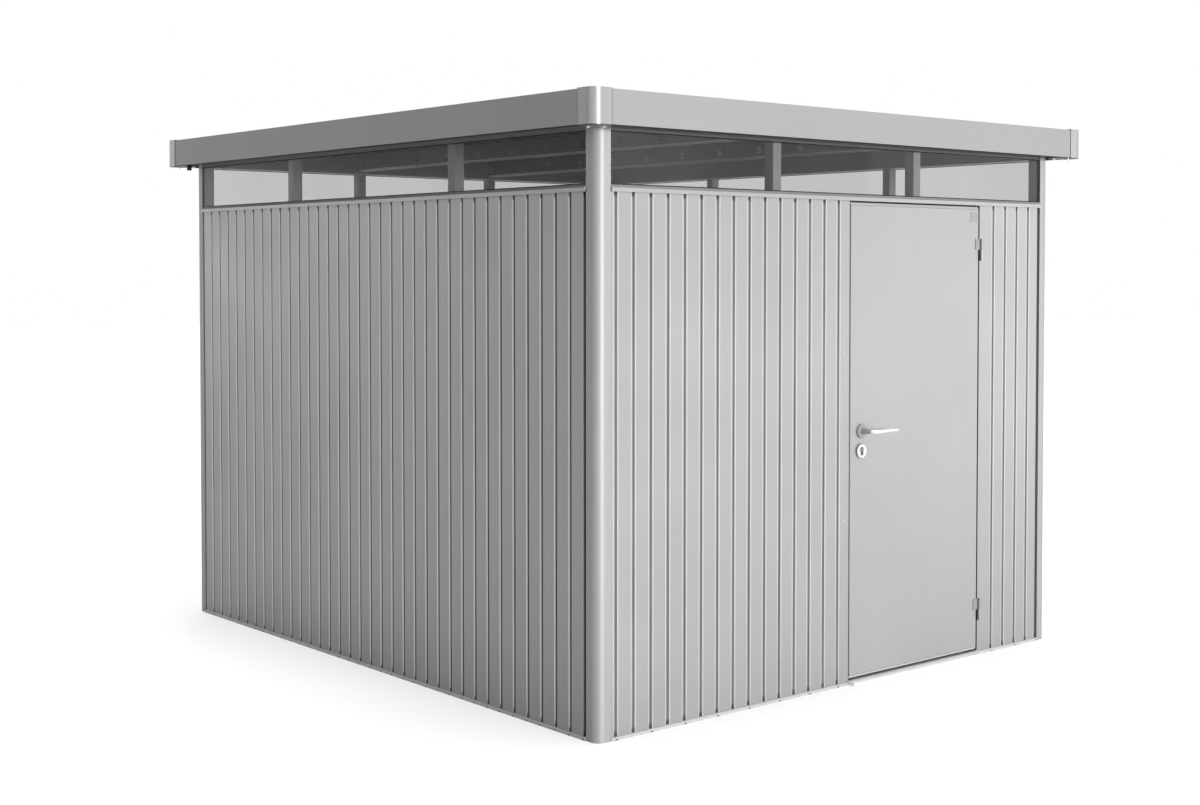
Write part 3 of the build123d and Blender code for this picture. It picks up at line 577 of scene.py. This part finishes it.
# dark sheets on the plug faces: painted shade standing for the key slots
parts = []
for y0, s in ((front_y - 0.0032, -1), (back_y + 0.0032, 1)):
    parts.append(prism(bead(lock_x - 0.0014, lock_x + 0.0014, lock_z + 0.0016, lock_z + 0.0106, 0.0007),
                       lambda u, v, h: (u, h, v), y0 - s * 0.0002, y0 + s * 0.00015))
put("key_slots", *join(parts), shade_black, "door", "black_plastic")

# ring around the neck of each lever
parts = []
for y0, s in ((LEAF - 0.009, -1), (LEAF + 0.034 + 0.009, 1)):
    parts.append(lathe([(0.0150, -0.0003), (0.0180, -0.0003), (0.0180, 0.0006), (0.0172, 0.0011), (0.0158, 0.0011), (0.0150, 0.0006), (0.0150, -0.0003)],
                       (0.061, y0, 0.983), (0, s, 0), 40))
put("rose_rings", *join(parts), rose_metal, "door", "handle_metal", smooth=True)

# screw heads: strike plate, face plate, hinge wings
places = []
for z in (0.858, 1.032):
    places.append(((-0.0082, -1.443, z), (1, 0, 0)))
screws("strike_screws", places, 0.0035, 0.0006, fittings, "shell", "steel_fittings")
places = [((-0.0028, -1.450, z), (-1, 0, 0)) for z in (0.8375, 1.0525)]
screws("faceplate_screws", places, 0.0033, 0.0006, fittings, "door", "steel_fittings")
places = []
for zh in (0.145, 1.645):
    for dz in (0.058, 0.080):
        places.append(((0.772, -1.470, zh + dz), (0, -1, 0)))
screws("hinge_screws", places, 0.0038, 0.0012, hinge_wing_metal, "door", "steel_fittings")

# --------------------------------------------------- screws in the wall sheets
places = []
for x, z in ((-0.0335, 1.285), (-0.0335, 0.640), (0.842, 1.285), (0.842, 0.640)):
    places.append(((x, FY, z), (0, -1, 0)))
screws("wall_screws", places, 0.0034, 0.0012, fittings, "shell", "steel_fittings")

# ----------------------------------------- rivets under the roof corner caps
places = []
parts, tips = [], []
for sx in (-1, 1):
    for sy in (-1, 1):
        places.append(((sx * 1.310, sy * 1.4640, 2.0882), (0, 0, -1)))
        places.append(((sx * 1.268, sy * 1.4985, 2.0882), (0, 0, -1)))
        outline = [(1.3450, 1.5380), (1.2620, 1.5380), (1.2620, 1.4740), (1.2690, 1.4720), (1.2760, 1.4660), (1.2780, 1.4520), (1.3450, 1.4520)]
        outline = [(sx * u, sy * v) for u, v in outline]
        parts.append(prism(outline, lambda u, v, h: (u, v, h), 2.0882, 2.0896))
        for x, y in (((1.3620, 1.4510),) if sy > 0 else ()) + (((1.2900, 1.5530),) if sx > 0 else ()):
            tips.append(lathe([(0.0, 0.0), (0.0021, 0.0), (0.0021, 0.0100), (0.0013, 0.0140), (0.0, 0.0165)],
                              (sx * x, sy * y, 2.0878), (0, 0, -1), 10))
screws("cap_rivets", places, 0.0062, 0.0048, sill_metal, "shell", "steel_fittings")
put("corner_plates", *join(parts), inner_steel, "shell", "inner_steel")
put("cap_screw_tips", *join(tips), fittings, "shell", "steel_fittings")

# ------------------------------------------------------ roof: sheet fixings
places = []
ribs = [0.1375 * (n - 10.5) for n in range(22)]
for i in range(23):
    y = 0.1375 * (i - 11)
    if abs(y) > 1.50:
        continue
    for x in (-1.243, -0.398, 0.402, 1.243):
        places.append((x, y))
parts = []
for x, y in places:
    z = 2.1752
    parts.append(lathe([(0.0, -0.0005), (0.0075, -0.0005), (0.0075, 0.0008), (0.0066, 0.0014), (0.0, 0.0014)], (x, y, z), (0, 0, 1), 14))
put("roof_washers", *join(parts), black, "shell", "black_plastic")
parts = []
for x, y in places:
    z = 2.1766
    parts.append(lathe([(0.0, -0.0004), (0.0046, -0.0004), (0.0046, 0.0030), (0.0040, 0.0036), (0.0, 0.0036)], (x, y, z), (0, 0, 1), 6, 0.3))
put("roof_screw_heads", *join(parts), fittings, "shell", "steel_fittings")

# bolts where the roof beams sit on the front and back wall-plates
places = []
for bx in (-0.418, 0.382):
    for k in range(-4, 5):
        places.append(((bx, 0.033 + 0.303 * k, 2.160), (-1, 0, 0)))
screws("beam_bolts", places, 0.0050, 0.0030, inner_steel, "shell", "inner_steel", seg=6)


# ------------------------------------------------------------ floor, lights
floor = bpy.data.objects.new("floor", bpy.data.meshes.new("floor"))
floor.data.from_pydata([(-40, -40, 0), (40, -40, 0), (40, 40, 0), (-40, 40, 0)], [], [(0, 1, 2, 3)])
scene.collection.objects.link(floor)
fm = Mat("floor")
fm.set(Roughness=0.85, Specular_IOR_Level=0.1)
fm.link(fm.mix(fm.noise(0.8, fm.mapping((1, 1, 1)), 3.0), (0.93, 0.93, 0.93), (0.95, 0.95, 0.95)), fm.b.inputs["Base Color"])
away = fm.t.nodes.new("ShaderNodeBsdfDiffuse")
away.inputs["Color"].default_value = (0.55, 0.55, 0.55, 1.0)
path = fm.t.nodes.new("ShaderNodeLightPath")
pick = fm.t.nodes.new("ShaderNodeMixShader")
fm.link(path.outputs["Is Camera Ray"], pick.inputs[0])
fm.link(away.outputs[0], pick.inputs[1])
lift = fm.t.nodes.new("ShaderNodeEmission")
lift.inputs["Color"].default_value = (1.0, 1.0, 1.0, 1.0)
even = fm.t.nodes.new("ShaderNodeMixShader")
even.inputs[0].default_value = 0.5
fm.link(fm.b.outputs[0], even.inputs[1])
fm.link(lift.outputs[0], even.inputs[2])
fm.link(even.outputs[0], pick.inputs[2])
fm.link(pick.outputs[0], fm.out.inputs[0])
floor.data.materials.append(fm.m)


def area(name, loc, target, size, size_y, power, color=(1, 1, 1)):
    d = bpy.data.lights.new(name, "AREA")
    d.shape = "RECTANGLE"
    d.size, d.size_y = size, size_y
    d.energy = power
    d.color = color
    o = bpy.data.objects.new(name, d)
    o.location = loc
    o.rotation_euler = (Vector(target) - Vector(loc)).to_track_quat("-Z", "Y").to_euler()
    scene.collection.objects.link(o)
    return o


def sun(name, direction, energy, angle):
    """Light that comes from the given direction."""
    d = bpy.data.lights.new(name, "SUN")
    d.energy = energy
    d.angle = math.radians(angle)
    o = bpy.data.objects.new(name, d)
    o.rotation_euler = Vector(direction).to_track_quat("Z", "Y").to_euler()
    scene.collection.objects.link(o)
    return o


sun("key", (0.05, -0.995, 0.07), 3.65, 13)
sun("rear_fill", (0.58, 0.78, 0.22), 0.85, 30)
sun("overhead", (0.02, -0.02, 1.0), 2.9, 36)
area("side", (6.1, -5.2, 1.5), (1.2, -1.4, 1.1), 2.2, 3.2, 34.0)

world = bpy.data.worlds.new("studio")
scene.world = world
world.use_nodes = True
wt = world.node_tree
wt.nodes.clear()


def wnode(kind, *links, **props):
    n = wt.nodes.new(kind)
    for k, v in props.items():
        setattr(n, k, v)
    for i, v in enumerate(links):
        if v is None:
            continue
        if isinstance(v, (int, float, tuple)):
            n.inputs[i].default_value = v
        else:
            wt.links.new(v, n.inputs[i])
    return n


wtc = wnode("ShaderNodeTexCoord")
wsep = wnode("ShaderNodeSeparateXYZ", wtc.outputs["Generated"])


def lobe(direction, power, gain):
    d = Vector(direction).normalized()
    dot = wnode("ShaderNodeVectorMath", wtc.outputs["Generated"], tuple(d), operation="DOT_PRODUCT")
    up = wnode("ShaderNodeMath", dot.outputs["Value"], 0.0, operation="MAXIMUM")
    pw = wnode("ShaderNodeMath", up.outputs[0], float(power), operation="POWER")
    return wnode("ShaderNodeMath", pw.outputs[0], float(gain), operation="MULTIPLY").outputs[0]


total = wnode("ShaderNodeMath", lobe((-1.0, -0.05, 0.05), 3.0, 0.36), 0.14, operation="ADD").outputs[0]
total = wnode("ShaderNodeMath", total, lobe((0.55, -0.83, 0.1), 2.0, 0.40), operation="ADD").outputs[0]
total = wnode("ShaderNodeMath", total, lobe((0, 0, 1), 2.0, 0.16), operation="ADD").outputs[0]
total = wnode("ShaderNodeMath", total, lobe((-0.30, 0.954, 0.02), 24.0, 2.6), operation="ADD").outputs[0]
total = wnode("ShaderNodeMath", total, lobe((-0.66, -0.75, 0.05), 6.0, 0.30), operation="ADD").outputs[0]
wo = wnode("ShaderNodeOutputWorld")
lp = wnode("ShaderNodeLightPath")
seen = wnode("ShaderNodeBackground", (1.0, 1.0, 1.0, 1.0), 1.0)
soft = wnode("ShaderNodeBackground", (1.0, 1.0, 1.0, 1.0), total)
mx = wnode("ShaderNodeMixShader", lp.outputs["Is Camera Ray"], soft.outputs[0], seen.outputs[0])
wt.links.new(mx.outputs[0], wo.inputs[0])
